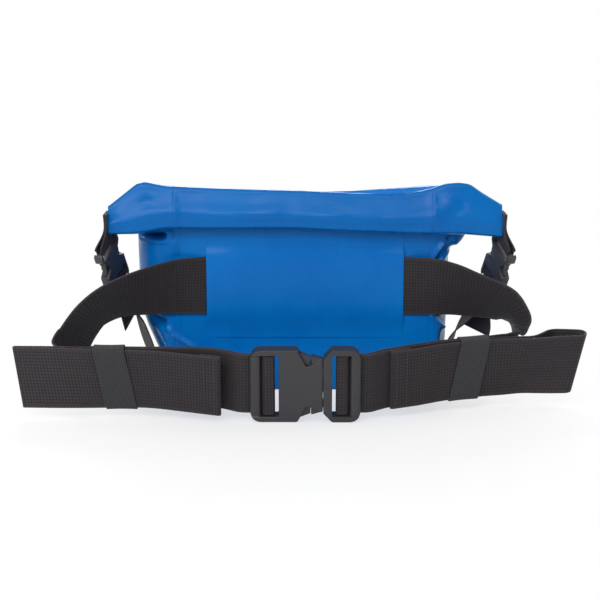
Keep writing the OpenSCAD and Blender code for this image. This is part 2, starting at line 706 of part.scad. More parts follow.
module right_closure_strap() {
  closure_strap(1, [
    [[seam_x + 37, -29, 73], [-0.1, 0.95, 0.2]], [[seam_x + 26, -27, 60], [0.05, 0.97, 0.1]],
    [[seam_x + 15.5, -27, 46], [0.18, 0.98, 0]], [[seam_x + 11.5, -25, 33], [0.18, 0.98, 0]],
    [[seam_x + 10, -24, 21], [0.18, 0.98, 0]]
  ]);
}

back_panel();
front_panel();
left_gusset();
right_gusset();
base_panel();
roll_top();
mouth_stiffener();
belt_sleeve();
belt_centre();
left_belt_lead();
right_belt_lead();
left_belt_run();
right_belt_run();
left_keeper();
right_keeper();
waist_female();
waist_male();
waist_upper_arm();
waist_lower_arm();
left_tab();
right_tab();
left_closure_male();
right_closure_male();
left_closure_female();
right_closure_female();
left_closure_near_arm();
left_closure_far_arm();
right_closure_near_arm();
right_closure_far_arm();
left_closure_strap();
right_closure_strap();
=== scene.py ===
import math

import bpy
import numpy as np
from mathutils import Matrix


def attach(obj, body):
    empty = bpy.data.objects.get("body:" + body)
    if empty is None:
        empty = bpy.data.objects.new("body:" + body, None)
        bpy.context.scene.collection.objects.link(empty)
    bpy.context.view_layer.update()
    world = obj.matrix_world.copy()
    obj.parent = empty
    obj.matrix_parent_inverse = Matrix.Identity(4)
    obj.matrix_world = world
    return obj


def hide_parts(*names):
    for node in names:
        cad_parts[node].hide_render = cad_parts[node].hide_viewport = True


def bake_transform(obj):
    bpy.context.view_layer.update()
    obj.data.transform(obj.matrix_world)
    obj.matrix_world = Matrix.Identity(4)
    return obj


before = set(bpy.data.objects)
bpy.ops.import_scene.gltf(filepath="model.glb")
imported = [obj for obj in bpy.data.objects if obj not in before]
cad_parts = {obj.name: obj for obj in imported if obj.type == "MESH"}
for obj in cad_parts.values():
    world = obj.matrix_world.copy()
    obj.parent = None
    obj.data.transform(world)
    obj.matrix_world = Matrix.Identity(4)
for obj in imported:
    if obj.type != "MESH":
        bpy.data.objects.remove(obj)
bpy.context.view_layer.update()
bpy.ops.object.select_all(action="DESELECT")


# The studio: a pale sheet of paper as floor, a wide soft light in front and to the left with weaker ones overhead,
# at the sides and behind, and a camera a little above the belt that looks straight at the back of the bag.
MM = 0.001
scene = bpy.context.scene
scene.view_settings.view_transform = "Standard"


def linear(red, green, blue):
    """Colour as read, 0 to 255, in the shader's own scale."""
    shares = [c / 255 for c in (red, green, blue)]
    return [s / 12.92 if s <= 0.04045 else ((s + 0.055) / 1.055) ** 2.4 for s in shares] + [1]


def new_material(name):
    material = bpy.data.materials.new(name)
    material.use_nodes = True
    return material, material.node_tree.nodes, material.node_tree.links


bpy.ops.object.camera_add(location=(-0.0043, -1.297, 0.347), rotation=(math.radians(78), 0, 0))
camera = bpy.context.object
camera.data.sensor_width = 36
camera.data.lens = 89.9
camera.data.clip_start = 0.05
scene.camera = camera

bpy.ops.mesh.primitive_plane_add(size=8, location=(0, 0, -0.0002))
paper = bpy.context.object
paper.name = "paper"
paper_material, nodes, links = new_material("paper")
paper_shader = nodes["Principled BSDF"]
paper_shader.inputs["Base Color"].default_value = (0.9, 0.9, 0.9, 1)
paper_shader.inputs["Roughness"].default_value = 0.22
paper_shader.inputs["Specular IOR Level"].default_value = 0.5
glow = nodes.new("ShaderNodeEmission")
glow.inputs["Strength"].default_value = 1
rays = nodes.new("ShaderNodeLightPath")
reach = nodes.new("ShaderNodeVectorMath")
reach.operation = "LENGTH"
below = nodes.new("ShaderNodeVectorMath")
below.operation = "ADD"
below.inputs[1].default_value = (0, 0.1, 0)
links.new(nodes.new("ShaderNodeTexCoord").outputs["Object"], below.inputs[0])
links.new(below.outputs["Vector"], reach.inputs[0])
fade = nodes.new("ShaderNodeMapRange")
fade.interpolation_type = "SMOOTHSTEP"
fade.inputs["From Min"].default_value = 0.08
fade.inputs["From Max"].default_value = 0.34
fade.inputs["To Min"].default_value = 0.6
fade.inputs["To Max"].default_value = 1
links.new(reach.outputs["Value"], fade.inputs["Value"])
share = nodes.new("ShaderNodeMath")
share.operation = "MULTIPLY"
links.new(rays.outputs["Is Camera Ray"], share.inputs[0])
links.new(fade.outputs["Result"], share.inputs[1])
mix = nodes.new("ShaderNodeMixShader")
links.new(share.outputs[0], mix.inputs["Fac"])
links.new(paper_shader.outputs["BSDF"], mix.inputs[1])
links.new(glow.outputs["Emission"], mix.inputs[2])
links.new(mix.outputs["Shader"], nodes["Material Output"].inputs["Surface"])
paper.data.materials.append(paper_material)

world = bpy.data.worlds.new("studio")
world.use_nodes = True
scene.world = world
nodes, links = world.node_tree.nodes, world.node_tree.links
room = nodes["Background"]
room.inputs["Color"].default_value = (1, 1, 1, 1)
rays = nodes.new("ShaderNodeLightPath")
seen = nodes.new("ShaderNodeMapRange")
seen.inputs["To Min"].default_value = 0.46
seen.inputs["To Max"].default_value = 1
links.new(rays.outputs["Is Camera Ray"], seen.inputs["Value"])
links.new(seen.outputs["Result"], room.inputs["Strength"])

for name, place, aim, wide, deep, power in (
    ("overhead", (-0.3, -0.5, 1.5), (0, -0.05, 0.05), 1.1, 1.1, 4),
    ("front", (-0.5, -1.7, 1.05), (0, -0.05, 0.1), 1.2, 0.9, 20),
    ("right_strip", (0.29, -0.95, 1.25), (0, -0.05, 0.1), 0.16, 0.06, 2),
    ("left_strip", (-0.85, -0.95, 0.75), (0, -0.05, 0.1), 0.06, 0.3, 2.5),
    ("right_back", (1.0, 0.5, 1.1), (0.05, -0.05, 0.1), 0.6, 0.6, 5),
    ("back_strip", (-0.1, 1.0, 0.8), (0, -0.05, 0.17), 0.9, 0.2, 12),
):
    bpy.ops.object.light_add(type="AREA", location=place)
    lamp = bpy.context.object
    lamp.name = name
    lamp.data.shape = "RECTANGLE"
    lamp.data.size = wide
    lamp.data.size_y = deep
    lamp.data.energy = power
    away = np.array(place) - np.array(aim)
    lamp.rotation_euler = (
        math.atan2(math.hypot(away[0], away[1]), away[2]), 0, math.atan2(away[1], away[0]) + math.pi / 2,
    )


# The bag itself: sheets of coated polyester, blue and satin, welded at the four upright seams and round the base.
# It is flat against the belt, swells at the sides and is drawn in flat to the neck under the roll.
BODY_H = 172
SEAM_X = 112
BACK_Y = -42
FRONT_Y = 42
NECK_Y = -49.3
LEFT_SIDE = [
    (0, 5), (0.1, 12), (0.18, 17.5), (0.3, 27), (0.38, 31.5), (0.6, 33.5), (0.78, 33.5), (0.815, 30), (1, 28),
]
RIGHT_SIDE = [
    (0, 5), (0.1, 9.5), (0.25, 12), (0.45, 13.5), (0.69, 13), (0.715, 14), (0.735, 19.5), (0.765, 24), (0.8, 27),
    (1, 28),
]
RIDGE = [
    (-166, 161), (-152, 172), (-140, 181.5), (-134, 182.5), (-117, 179), (-75, 177), (-4, 175), (40, 173), (71, 172),
    (92, 174), (105, 176.6), (117, 181), (128, 182), (138, 180.5), (147, 174), (166, 162.5),
]
ROLL_LOW = [
    (-166, 140), (-141, 140), (-118, 144.5), (-4, 144.5), (38, 142.4), (60, 141.6), (80, 140.7), (105, 140),
    (130, 140), (166, 137.5),
]


def ease(t, low, high):
    s = np.clip((t - low) / (high - low), 0, 1)
    return s * s * (3 - 2 * s)


def curve_of(table, at, soft):
    """Reads a table of pairs as a curve whose corners are softened over the given run."""
    keys, values = np.array(table, float).T
    spread = np.linspace(-soft, soft, 9)
    weight = np.hanning(11)[1:-1]
    return sum(w * np.interp(at + s, keys, values) for s, w in zip(spread, weight)) / weight.sum()


def waves(seed, points, size, count=14):
    """Smooth uneven swell of about one unit, drawn from a fixed seed."""
    draw = np.random.default_rng(seed)
    total = np.zeros(points.shape[:-1])
    for _ in range(count):
        way = draw.normal(size=3)
        way *= 2 * math.pi / (size * draw.uniform(0.7, 1.6) * np.linalg.norm(way))
        total += np.sin(points @ way + draw.uniform(0, 2 * math.pi))
    return total / math.sqrt(count)


def lay_sheet(name, points, uv=None, closed=False):
    """Adds a grid and lays its rows and columns on the given points, in millimetres."""
    rows, columns = points.shape[0] - 1, points.shape[1] - 1
    bpy.ops.object.select_all(action="DESELECT")
    bpy.ops.mesh.primitive_grid_add(x_subdivisions=columns, y_subdivisions=rows, size=1)
    sheet = bpy.context.object
    sheet.name = sheet.data.name = name
    flat = np.empty(3 * len(sheet.data.vertices))
    sheet.data.vertices.foreach_get("co", flat)
    flat = flat.reshape(-1, 3)
    across = np.rint((flat[:, 0] + 0.5) * columns).astype(int)
    along = np.rint((flat[:, 1] + 0.5) * rows).astype(int)
    sheet.data.vertices.foreach_set("co", (points[along, across] * MM).ravel())
    if uv is not None:
        corners = np.empty(len(sheet.data.loops), int)
        sheet.data.loops.foreach_get("vertex_index", corners)
        values = uv[along[corners], across[corners]] * MM
        sheet.data.uv_layers[0].data.foreach_set("uv", values.ravel())
    sheet.data.update()
    if closed:
        bpy.ops.object.mode_set(mode="EDIT")
        bpy.ops.mesh.select_all(action="SELECT")
        bpy.ops.mesh.remove_doubles(threshold=1e-6)
        bpy.ops.object.mode_set(mode="OBJECT")
    return sheet


def turn_outwards(piece):
    bpy.ops.object.select_all(action="DESELECT")
    piece.select_set(True)
    bpy.context.view_layer.objects.active = piece
    bpy.ops.object.mode_set(mode="EDIT")
    bpy.ops.mesh.select_all(action="SELECT")
    bpy.ops.mesh.normals_make_consistent(inside=False)
    bpy.ops.object.mode_set(mode="OBJECT")


def finish_with(piece, *steps, smooth=40):
    """Adds each modifier with its values, applies it, and shades the piece smooth up to an angle."""
    bpy.ops.object.select_all(action="DESELECT")
    piece.select_set(True)
    bpy.context.view_layer.objects.active = piece
    for kind, values in steps:
        modifier = piece.modifiers.new(kind.lower(), kind)
        for key, value in values.items():
            setattr(modifier, key, value)
        bpy.ops.object.modifier_apply(modifier=modifier.name)
    bpy.ops.object.shade_smooth_by_angle(angle=math.radians(smooth))
    return piece


def bag_loops(shares):
    """Loops of the bag from the base to the neck: back, right side, front and left side."""
    back = np.linspace(-1, 1, 131)[:-1]
    side = np.linspace(-90, 90, 41)[:-1]
    front = np.linspace(1, -1, 81)[:-1]
    rows = []
    for s in shares:
        back_y = curve_of([(0, BACK_Y), (0.8, BACK_Y), (0.93, BACK_Y - 1), (1, NECK_Y)], s, 0.03)
        front_y = curve_of(
            [
                (0, FRONT_Y), (0.3, FRONT_Y + 3), (0.55, FRONT_Y), (0.75, FRONT_Y * 0.62), (0.88, FRONT_Y * 0.12),
                (0.96, BACK_Y * 0.55), (1, NECK_Y + 2), (1.1, NECK_Y - 6),
            ], s, 0.05,
        )
        if s > 0.97:
            front_y = max(front_y, back_y + 1.6)
        puff = curve_of([(0, 1), (0.3, 9), (0.7, 9), (1, 0)], s, 0.06)
        middle, half = (back_y + front_y) / 2, (front_y - back_y) / 2
        loop = [(SEAM_X * k, back_y) for k in back]
        for way, bulges in ((1, RIGHT_SIDE), (-1, LEFT_SIDE)):
            bulge = curve_of(bulges, s, 0.02)
            angles = np.radians(side if way > 0 else -side)
            loop += [(way * (SEAM_X + bulge * math.cos(a)), middle + half * math.sin(a)) for a in angles]
            if way > 0:
                loop += [(SEAM_X * k, front_y + puff * (1 - k * k)) for k in front]
        loop.append(loop[0])
        loop = np.array(loop)
        z = s * BODY_H + (curve_of(RIDGE, loop[:, 0], 6) - 1.2 - BODY_H) * ease(s, 0.82, 1)
        rows.append(np.column_stack([loop, z * np.ones(len(loop))]))
    return np.array(rows)


def round_base(rows, radius=5, sag=0.4):
    """Draws the foot of the lowest loop in to a rounded rim and closes it with a flat base."""
    loop = rows[0]
    reach = np.linalg.norm(loop[:, :2], axis=1)[:, None]
    inward = -loop * np.array([1, 1, 0]) / reach
    foot = []
    for share in (0, 0.3, 0.6, 0.85):
        ring = (loop + inward * radius) * np.array([share, share, 0])
        ring[:, 2] = sag * (1 - share)
        foot.append(ring)
    for a in np.linspace(0, 75, 6):
        ring = loop + inward * radius * (1 - math.sin(math.radians(a)))
        ring[:, 2] = radius * (1 - math.cos(math.radians(a)))
        foot.append(ring)
    return np.concatenate([np.array(foot), rows])


def sheet_normals(points):
    along = np.gradient(points, axis=0)
    across = np.gradient(points, axis=1)
    across[:, 0] = across[:, -1] = points[:, 1] - points[:, -2]
    normals = np.cross(across, along)
    return normals / np.maximum(np.linalg.norm(normals, axis=2), 1e-9)[..., None]


def fold(points, path, width, depth):
    """Depth of a crease or ridge along a broken line, as seen square on to the bag, fading at its ends."""
    path = np.array(path, float)
    facing = np.sign(path[:, 1].mean())
    seen = points[..., [0, 2]]
    path = path[:, [0, 2]]
    best, at = np.full(seen.shape[:-1], 1e9), np.zeros(seen.shape[:-1])
    lengths = np.linalg.norm(np.diff(path, axis=0), axis=1)
    start = 0
    for a, b, length in zip(path[:-1], path[1:], lengths):
        t = np.clip(((seen - a) @ (b - a)) / length**2, 0, 1)
        away = np.linalg.norm(seen - (a + t[..., None] * (b - a)), axis=-1)
        nearer = away < best
        best = np.where(nearer, away, best)
        at = np.where(nearer, (start + t * length) / lengths.sum(), at)
        start += length
    fade = ease(at, -0.02, 0.2) * (1 - ease(at, 0.8, 1.02)) * ease(facing * points[..., 1], 12, 32)
    return depth * np.exp(-((best / width) ** 2)) * fade


body_points = round_base(bag_loops(np.concatenate([np.linspace(0.03, 0.7, 62), np.linspace(0.71, 1, 46)])))
out = sheet_normals(body_points)
lift = 0.55 * waves(4, body_points, 75) + 0.18 * waves(9, body_points, 26)
for path, width, depth in (
    ([(-153, -30, 135.5), (-143, -38, 135.5), (-132, -43, 135.5), (-117, -44, 135.5)], 2.8, -14),
    ([(-150, -36, 130), (-132, -43, 130.5), (-114, -43, 131)], 2, 1.6),
    ([(-118, -43, 141), (-114.5, -43, 136.5), (-118, -43, 131.5)], 2, 2.4),
    ([(-112, -43, 133), (-109, -43, 119)], 1.5, 1.8),
    ([(-125, -41, 65), (-115, -43, 50), (-104, -43, 43), (-90, -43, 36)], 1.6, 3),
    ([(-147, -34, 64), (-130, -41, 60), (-117, -42, 57)], 4.4, -7),
    ([(-145, -36, 70), (-130, -42, 69), (-117, -43, 66)], 1.8, 2.2),
    ([(-136, -20, 56), (-128, -28, 44), (-120, -34, 30)], 4, -2.5),
    ([(125, -42, 137), (118, -44, 124), (109, -43, 106)], 2, -5.5),
    ([(121.5, -42, 134), (113.5, -43, 124), (106, -43, 108)], 1.7, 3),
    ([(127, -38, 122.5), (118, -42, 117), (110, -43, 104)], 1.8, 2),
    ([(140, -30, 139), (132, -40, 132), (124, -42, 128)], 4.5, 3.5),
    ([(105, -43, 71), (114, -43, 60), (126, -38, 49)], 1.6, 3.2),
    ([(111, -42, 73), (121, -40, 61), (129, -36, 54)], 2.8, -4.5),
    ([(127, -30, 60), (124, -26, 50), (120, -26, 30)], 5, -2),
    ([(-120, 30, 140), (-60, 44, 118), (0, 52, 112)], 7, -2.5),
    ([(120, 28, 138), (70, 44, 121), (20, 52, 118)], 6, -2.2),
    ([(-50, 20, 150), (-20, 34, 138), (30, 36, 136)], 7, 2),
    ([(-136, 30, 70), (-120, 44, 45), (-100, 46, 20)], 6, -2),
    ([(126, 30, 66), (116, 44, 40), (100, 46, 18)], 6, -2),
):
    lift += fold(body_points, path, width, depth)
lift *= ease(body_points[..., 2], 1, 14) * (1 - 0.6 * ease(body_points[..., 2], 160, 172))
flat_back = (np.abs(body_points[..., 0]) < 92) & (body_points[..., 1] < 0) & (body_points[..., 2] < 146)
lift = np.where(flat_back, np.clip(lift, -0.15, 0.15), lift)
body_points = body_points + out * lift[..., None]
body_points[..., 2] = np.maximum(body_points[..., 2], 0)
bag = lay_sheet("bag_body", body_points, closed=True)
bpy.ops.object.mode_set(mode="EDIT")
bpy.ops.mesh.select_all(action="DESELECT")
bpy.ops.mesh.select_non_manifold()
bpy.ops.mesh.edge_face_add()
bpy.ops.object.mode_set(mode="OBJECT")
turn_outwards(bag)
finish_with(bag, smooth=60)


def shader_group(name, inputs, outputs):
    """Starts a group of shader nodes with named values in and out."""
    group = bpy.data.node_groups.new(name, "ShaderNodeTree")
    for label, kind, value in inputs:
        socket = group.interface.new_socket(label, in_out="INPUT", socket_type=kind)
        if value is not None:
            socket.default_value = value
    for label, kind in outputs:
        group.interface.new_socket(label, in_out="OUTPUT", socket_type=kind)
    return group, group.nodes.new("NodeGroupInput"), group.nodes.new("NodeGroupOutput")


def math_node(tree, operation, first, second=None, third=None):
    node = tree.nodes.new("ShaderNodeMath")
    node.operation = operation
    for socket, value in zip(node.inputs, (first, second, third)):
        if value is None:
            continue
        if isinstance(value, (int, float)):
            socket.default_value = value
        else:
            tree.links.new(value, socket)
    return node.outputs[0]


def noise_node(tree, vector, scale, detail=2, roughness=0.5):
    node = tree.nodes.new("ShaderNodeTexNoise")
    node.inputs["Scale"].default_value = scale
    node.inputs["Detail"].default_value = detail
    node.inputs["Roughness"].default_value = roughness
    tree.links.new(vector, node.inputs["Vector"])
    return node.outputs["Fac"]


def mix_colours(tree, factor, first, second, blend="MIX"):
    node = tree.nodes.new("ShaderNodeMix")
    node.data_type = "RGBA"
    node.blend_type = blend
    for index, value in ((0, factor), (6, first), (7, second)):
        if isinstance(value, (int, float)) or isinstance(value, (list, tuple)):
            node.inputs[index].default_value = value
        else:
            tree.links.new(value, node.inputs[index])
    return node.outputs[2]


def coated_cloth():
    """Height of the cloth's fine threads under its coating, and the coating's soft unevenness."""
    group, given, result = shader_group(
        "coated_cloth", [("Place", "NodeSocketVector", None), ("Thread", "NodeSocketFloat", 900.0)],
        [("Height", "NodeSocketFloat"), ("Mottle", "NodeSocketFloat")],
    )
    split = group.nodes.new("ShaderNodeSeparateXYZ")
    group.links.new(given.outputs["Place"], split.inputs[0])
    threads = []
    for axis in ("X", "Y", "Z"):
        swing = math_node(group, "MULTIPLY", split.outputs[axis], given.outputs["Thread"])
        threads.append(math_node(group, "SINE", math_node(group, "MULTIPLY", swing, 2 * math.pi)))
    weave = math_node(group, "ADD", math_node(group, "ADD", threads[0], threads[1]), threads[2])
    soft = noise_node(group, given.outputs["Place"], 55, 3, 0.55)
    fine = noise_node(group, given.outputs["Place"], 420, 2, 0.5)
    height = math_node(group, "MULTIPLY_ADD", weave, 0.06, soft)
    height = math_node(group, "MULTIPLY_ADD", fine, 0.16, height)
    group.links.new(height, result.inputs["Height"])
    group.links.new(noise_node(group, given.outputs["Place"], 11, 3, 0.6), result.inputs["Mottle"])
    return group


cloth_group = coated_cloth()


def vinyl_material(name, seams, painted_shade_factor=1.0):
    """Blue coated cloth with a satin gloss. Welded seams show as two fine upright lines at the given places. A painted
    shade factor below one darkens the blue all over, as painted shade.
    """
    material, nodes, links = new_material(name)
    tree = material.node_tree
    shader = nodes["Principled BSDF"]
    place = nodes.new("ShaderNodeTexCoord").outputs["Object"]
    cloth = nodes.new("ShaderNodeGroup")
    cloth.node_tree = cloth_group
    cloth.inputs["Thread"].default_value = 560
    links.new(place, cloth.inputs["Place"])
    split = nodes.new("ShaderNodeSeparateXYZ")
    links.new(place, split.inputs[0])
    shade = nodes.new("ShaderNodeMapRange")
    shade.inputs["From Min"].default_value = 0.35
    shade.inputs["From Max"].default_value = 0.65
    links.new(cloth.outputs["Mottle"], shade.inputs["Value"])
    # Painted shade: both blues are scaled by the painted shade factor.
    deep, pale = ([painted_shade_factor * c for c in linear(*blue)] for blue in ((0, 97, 175), (0, 106, 183)))
    colour = mix_colours(tree, shade.outputs["Result"], deep, pale)
    height = cloth.outputs["Height"]
    for seam in seams:
        away = math_node(tree, "ABSOLUTE", math_node(tree, "SUBTRACT", split.outputs["X"], seam * MM))
        line = nodes.new("ShaderNodeMapRange")
        line.interpolation_type = "SMOOTHSTEP"
        line.inputs["From Min"].default_value = 0.0003
        line.inputs["From Max"].default_value = 0.0012
        line.inputs["To Min"].default_value = 1
        line.inputs["To Max"].default_value = 0
        links.new(away, line.inputs["Value"])
        height = math_node(tree, "MULTIPLY_ADD", line.outputs["Result"], -0.8, height)
        dim = math_node(tree, "MULTIPLY", line.outputs["Result"], 0.14)
        colour = mix_colours(tree, dim, colour, linear(2, 66, 140))
    links.new(colour, shader.inputs["Base Color"])
    gloss = nodes.new("ShaderNodeMapRange")
    gloss.inputs["From Min"].default_value = 0.3
    gloss.inputs["From Max"].default_value = 0.7
    gloss.inputs["To Min"].default_value = 0.24
    gloss.inputs["To Max"].default_value = 0.34
    links.new(cloth.outputs["Mottle"], gloss.inputs["Value"])
    links.new(gloss.outputs["Result"], shader.inputs["Roughness"])
    shader.inputs["Specular IOR Level"].default_value = 0.13
    bump = nodes.new("ShaderNodeBump")
    bump.inputs["Strength"].default_value = 0.3
    bump.inputs["Distance"].default_value = 0.0006
    links.new(height, bump.inputs["Height"])
    links.new(bump.outputs["Normal"], shader.inputs["Normal"])
    return material


bag_vinyl = vinyl_material("bag_vinyl", (-111.5, -106.5, 106, 111.5))
bag.data.materials.append(bag_vinyl)
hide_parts("back_panel", "front_panel", "left_gusset", "right_gusset", "base_panel")
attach(bag, "bag")


# The belt sleeve: one more strip of the same coated cloth, welded to the back along its upper and lower bands so
# that the belt slides in behind it. It lies nearly flush and its two open ends show as upright edges.
SLEEVE_HALF = 84
SLEEVE_SHEET = 0.4
SLEEVE_WELD_Y = -42.2
SLEEVE_PROFILE = [
    (47.5, -42.4), (53, -42.45), (66.5, -44.3), (74, -44.6), (93, -44.7), (112, -44.6), (118.5, -44.35), (126, -43.5),
    (135, -42.7), (143.5, -42.7),
]
sleeve_z = np.linspace(47.5, 143.5, 97)
sleeve_y = curve_of(SLEEVE_PROFILE, sleeve_z, 3)
sleeve_x = np.linspace(-SLEEVE_HALF, SLEEVE_HALF, 113)
sleeve_points = np.array([[(x, y, z) for x in sleeve_x] for y, z in zip(sleeve_y, sleeve_z)])
sleeve_points[..., 1] -= 0.12 * (1 + waves(21, sleeve_points, 40)) * ease(np.abs(sleeve_points[..., 2] - 93), 40, 20)
off_belt = 1 - ease(sleeve_points[..., 2], 50, 66) * (1 - ease(sleeve_points[..., 2], 120, 130))
welded = off_belt * ease(np.abs(sleeve_points[..., 0]), 55, 80)
sleeve_points[..., 1] += (SLEEVE_WELD_Y - sleeve_points[..., 1]) * welded
sleeve = lay_sheet("belt_sleeve_sheet", sleeve_points)
finish_with(
    sleeve, ("SOLIDIFY", {"thickness": SLEEVE_SHEET * MM, "offset": 0}),
    ("BEVEL", {"width": 0.12 * MM, "segments": 2, "angle_limit": math.radians(50)}),
)
sleeve.data.materials.append(vinyl_material("sleeve_vinyl", ()))
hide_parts("belt_sleeve")
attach(sleeve, "bag")


# The rolled mouth: both layers of the mouth rolled down twice over a stiff strip towards the belt. The outer turn
# runs smooth from the ridge to the lower edge, and the ends show the spiral of the turns.
ROLL_HALF = 165
ROLL_Z = 151.5
ROLL_H = 24
ROLL_CORE = 0.675
ROLL_PITCH = 2
ROLL_TURNS = 2
ROLL_SHEET = 1.3
ROLL_END_R = ROLL_CORE + ROLL_PITCH * ROLL_TURNS
ROLL_STRAIGHT = (ROLL_H - ROLL_SHEET - 2 * ROLL_CORE - ROLL_PITCH * (2 * ROLL_TURNS - 1)) / 2
ROLL_Y = -53.925
ROLL_SLUMP = 0.72
RIDGE_Y = -49
RIDGE_Z = 174


def roll_section():
    """The sheet seen from the end of the roll, as y and z, from its core out to the ridge and down behind it."""
    section = []
    for half_turn in range(1, 2 * ROLL_TURNS):
        for k in range(13):
            a = 180 * (half_turn + k / 13)
            r = ROLL_CORE + ROLL_PITCH * a / 360
            side = ROLL_STRAIGHT if half_turn % 2 == 0 else -ROLL_STRAIGHT
            up = ROLL_H / 2 + side + r * math.sin(math.radians(a))
            section.append((ROLL_Y - r * math.cos(math.radians(a)), ROLL_Z - ROLL_H / 2 + ROLL_SLUMP * up))
    outer = [
        (ROLL_Y - 1.03 * ROLL_END_R, ROLL_Z - 6), (ROLL_Y - 1.19 * ROLL_END_R, ROLL_Z - 1),
        (ROLL_Y - 1.1 * ROLL_END_R, ROLL_Z + 3), (ROLL_Y - 0.74 * ROLL_END_R, ROLL_Z + 7),
        (ROLL_Y - 0.4 * ROLL_END_R, ROLL_Z + 10.5), (ROLL_Y - 0.1 * ROLL_END_R, ROLL_Z + 14.5),
        (RIDGE_Y - 4.3, RIDGE_Z - 4.6), (RIDGE_Y - 3.4, RIDGE_Z - 1.2), (RIDGE_Y - 1.2, RIDGE_Z),
        (RIDGE_Y + 1.4, RIDGE_Z - 1), (RIDGE_Y + 4, RIDGE_Z - 4.5), (RIDGE_Y + 6.6, RIDGE_Z - 9),
    ]
    return np.array(section + outer)


def through(stations, steps):
    """Smooth line through stations."""
    v = np.array(stations, float)
    line = []
    for i in range(len(v) - 1):
        a, b, c, d = v[max(i - 1, 0)], v[i], v[i + 1], v[min(i + 2, len(v) - 1)]
        for k in range(steps):
            t = k / steps
            line.append((2 * b + (c - a) * t + (2 * a - 5 * b + 4 * c - d) * t**2 + (3 * b - a - 3 * c + d) * t**3) / 2)
    return np.array(line + [v[-1]])


def filled(path, step):
    """Adds points to the longer stretches of a broken line."""
    dense = [path[0]]
    for a, b in zip(path[:-1], path[1:]):
        parts = max(1, int(math.ceil(np.linalg.norm(b - a) / step)))
        dense += [a + (b - a) * k / parts for k in range(1, parts + 1)]
    return np.array(dense)


section = filled(through(roll_section(), 3), 1.2)
roll_x = np.linspace(-ROLL_HALF, ROLL_HALF, 166)
low = curve_of(ROLL_LOW, roll_x, 6)
high = curve_of(RIDGE, roll_x, 4)
roll_points = np.zeros((len(roll_x), len(section), 3))
for row, x in enumerate(roll_x):
    share_up = (section[:, 1] - (ROLL_Z - ROLL_H / 2)) / (RIDGE_Z - ROLL_Z + ROLL_H / 2)
    roll_points[row, :, 0] = x
    roll_points[row, :, 1] = section[:, 0]
    roll_points[row, :, 2] = low[row] + share_up * (high[row] - low[row])
outer_share = ease(np.arange(len(section)) / len(section), 0.45, 0.6)[None, :]
front_share = ease(roll_points[..., 1], -51, -57)
roll_points[..., 1] += outer_share * front_share * (0.5 * waves(31, roll_points, 60) + 0.2 * waves(32, roll_points, 22))
for path, width, depth in (
    ([(-110, -59, 142), (-109, -59, 158), (-112, -54, 176)], 3, 0.9),
    ([(106, -59, 142), (108, -59, 158), (106, -54, 176)], 3, 0.9),
    ([(112, -59, 150), (125, -58, 158), (134, -56, 168)], 5, -1.2),
    ([(116, -58, 171), (126, -58, 166), (131, -58, 160)], 3, 0.9),
    ([(-158, -58, 150), (-140, -58, 160), (-128, -56, 172)], 6, -1.1),
):
    roll_points[..., 1] -= outer_share * fold(roll_points, path, width, depth)
roll = lay_sheet("roll_sheet", roll_points)
finish_with(
    roll, ("SOLIDIFY", {"thickness": ROLL_SHEET * MM, "offset": 0}),
    ("BEVEL", {"width": 0.3 * MM, "segments": 2, "angle_limit": math.radians(60)}), smooth=60,
)
# The roll's blue is painted darker than the body's, by 0.8, as painted shade: the roll stands out in the light while
# the body under it is shaded.
roll.data.materials.append(vinyl_material("roll_vinyl", (-110, 107), 0.8))
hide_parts("roll_top")
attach(roll, "bag")


# The stiff strip that the mouth is rolled on: a plain flat plastic batten, pale, that only shows as an edge at the
# two ends of the roll.
strip_material, nodes, links = new_material("batten_plastic")
shader = nodes["Principled BSDF"]
place = nodes.new("ShaderNodeTexCoord").outputs["Object"]
cloud = noise_node(strip_material.node_tree, place, 260, 3)
links.new(mix_colours(strip_material.node_tree, cloud, linear(150, 158, 166), linear(176, 182, 188)),
          shader.inputs["Base Color"])
shader.inputs["Roughness"].default_value = 0.5
STRIP_T = 0.75
strip_shares = np.array([0.12, 0.37])
strip_points = np.array([[(x, ROLL_Y, l + s * (h - l)) for x, l, h in zip(roll_x, low, high)] for s in strip_shares])
strip_points[..., 0] *= (ROLL_HALF - 1) / ROLL_HALF
batten = lay_sheet("batten", strip_points)
finish_with(batten, ("SOLIDIFY", {"thickness": STRIP_T * MM, "offset": 0}))
batten.data.materials.append(strip_material)
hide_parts("mouth_stiffener")
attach(batten, "bag")


# The belt: 50 mm woven nylon webbing, charcoal, in one length each side. It comes out of the sleeve, turns round to
# the front, goes round the buckle's bar, and its tail is folded back and hemmed with two rows of stitches.
BELT_W = 50
BELT_T = 1.6
LEAN = math.radians(6)
FRONT_FOOT = np.array([0, -132, 6.5 * math.sin(LEAN)])
BELT_MID = 30.5


def front_vector(v):
    x, y, z = v
    return np.array([x, y * math.cos(LEAN) - z * math.sin(LEAN), y * math.sin(LEAN) + z * math.cos(LEAN)])


def front_point(x, y, z):
    return FRONT_FOOT + front_vector((x, y, z))


def rounded(corners, steps=10):
    """Open line through corners given as x, y and radius, with each corner rounded."""
    line = [np.array(corners[0][:2], float)]
    for before, here, after in zip(corners[:-2], corners[1:-1], corners[2:]):
        q = np.array(here[:2], float)
        a, b = np.array(before[:2]) - q, np.array(after[:2]) - q
        a, b = a / np.linalg.norm(a), b / np.linalg.norm(b)
        half = math.acos(np.clip(a @ b, -1, 1)) / 2
        if half > math.radians(89.4):
            line.append(q)
            continue
        r = here[2]
        centre = q + (a + b) / np.linalg.norm(a + b) * r / math.sin(half)
        start, end = q + a * r / math.tan(half) - centre, q + b * r / math.tan(half) - centre
        sweep = (math.pi - 2 * half) * np.sign(start[0] * end[1] - start[1] * end[0])
        for k in range(steps + 1):
            t = sweep * k / steps
            line.append(centre + np.array([
                start[0] * math.cos(t) - start[1] * math.sin(t), start[0] * math.sin(t) + start[1] * math.cos(t),
            ]))
    line.append(np.array(corners[-1][:2], float))
    return np.array(line)


